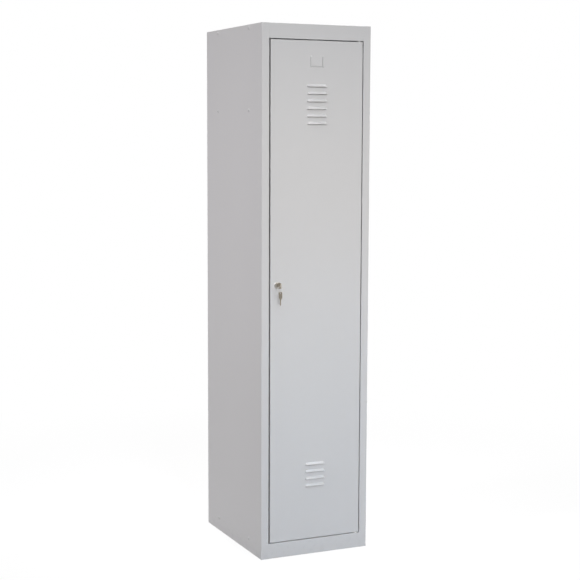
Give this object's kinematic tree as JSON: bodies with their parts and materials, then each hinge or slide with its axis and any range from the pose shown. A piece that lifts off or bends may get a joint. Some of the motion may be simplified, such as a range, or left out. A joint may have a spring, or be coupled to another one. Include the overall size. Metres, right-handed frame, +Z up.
{
  "type": "metal locker",
  "caption": "Tall single-door sheet steel clothes locker with pressed louvres, card holder, cam lock with hanging keys, hat shelf and hanging rail.",
  "frame": {"origin": "middle of the base, on the floor plane", "axes": "+X to the right seen from the front, +Y to the back, +Z up; the door faces -Y"},
  "size_m": [0.4044, 0.5371, 1.8],
  "materials": {
    "grey_paint": "light grey powder coat, fine satin",
    "chrome": "bright plated",
    "nickel": "nickel plated, lightly worn",
    "zinc": "zinc plated",
    "brass": "machined",
    "nylon": "moulded white",
    "black_plastic": "moulded black",
    "rubber": "matt black"
  },
  "bodies": {
    "cabinet": {"left_side_panel": "grey_paint", "right_side_panel": "grey_paint", "back_panel": "grey_paint", "top_panel": "grey_paint", "bottom_panel": "grey_paint", "shelf": "grey_paint", "shelf_rivets": "grey_paint", "floor_rivets": "grey_paint", "top_rivets": "grey_paint", "back_rivets": "grey_paint", "hanging_rail": "zinc", "rail_end_caps": "black_plastic", "left_rail_bracket": "grey_paint", "right_rail_bracket": "grey_paint", "rail_rivets": "grey_paint", "stop_tabs": "grey_paint", "door_buffers": "rubber", "upper_bush": "nylon", "lower_bush": "nylon"},
    "door": {"door_panel": "grey_paint", "door_stiffener": "grey_paint", "upper_pivot_bracket": "grey_paint", "lower_pivot_bracket": "grey_paint", "upper_pivot_pin": "zinc", "lower_pivot_pin": "zinc", "thrust_washer": "zinc", "lock_housing": "chrome", "lock_washer": "zinc", "lock_nut": "zinc"},
    "lock_core": {"lock_plug": "chrome", "lock_wafers": "brass", "stop_washer": "zinc", "lock_cam": "zinc", "cam_washer": "zinc", "cam_screw": "zinc"},
    "key": {"key_in_lock": "nickel"},
    "ring": {"key_ring": "nickel"},
    "spare": {"spare_key": "nickel"}
  },
  "joints": [
    {"name": "door_swing", "type": "hinge", "parent": "cabinet", "child": "door", "pos_m": [0.158, -0.242, 0.9], "axis": [0, 0, 1], "range_deg": [0, 115]},
    {"name": "lock_turn", "type": "hinge", "parent": "door", "child": "lock_core", "pos_m": [-0.142, -0.25, 0.937], "axis": [0, 1, 0], "range_deg": [0, 90]},
    {"name": "key_pull", "type": "slide", "parent": "lock_core", "child": "key", "axis": [0, -1, 0], "range_m": [0, 0.03]},
    {"name": "ring_swing", "type": "hinge", "parent": "key", "child": "ring", "pos_m": [-0.142, -0.2749, 0.9352], "axis": [1, 0, 0], "range_deg": [-30, 8]},
    {"name": "spare_hang", "type": "hinge", "parent": "ring", "child": "spare", "pos_m": [-0.142, -0.2749, 0.9249], "axis": [0, 1, 0], "range_deg": [-90, 0]}
  ],
  "couplings": [
    {"joint": "spare_hang", "follows": "lock_turn", "ratio": -1}
  ]
}
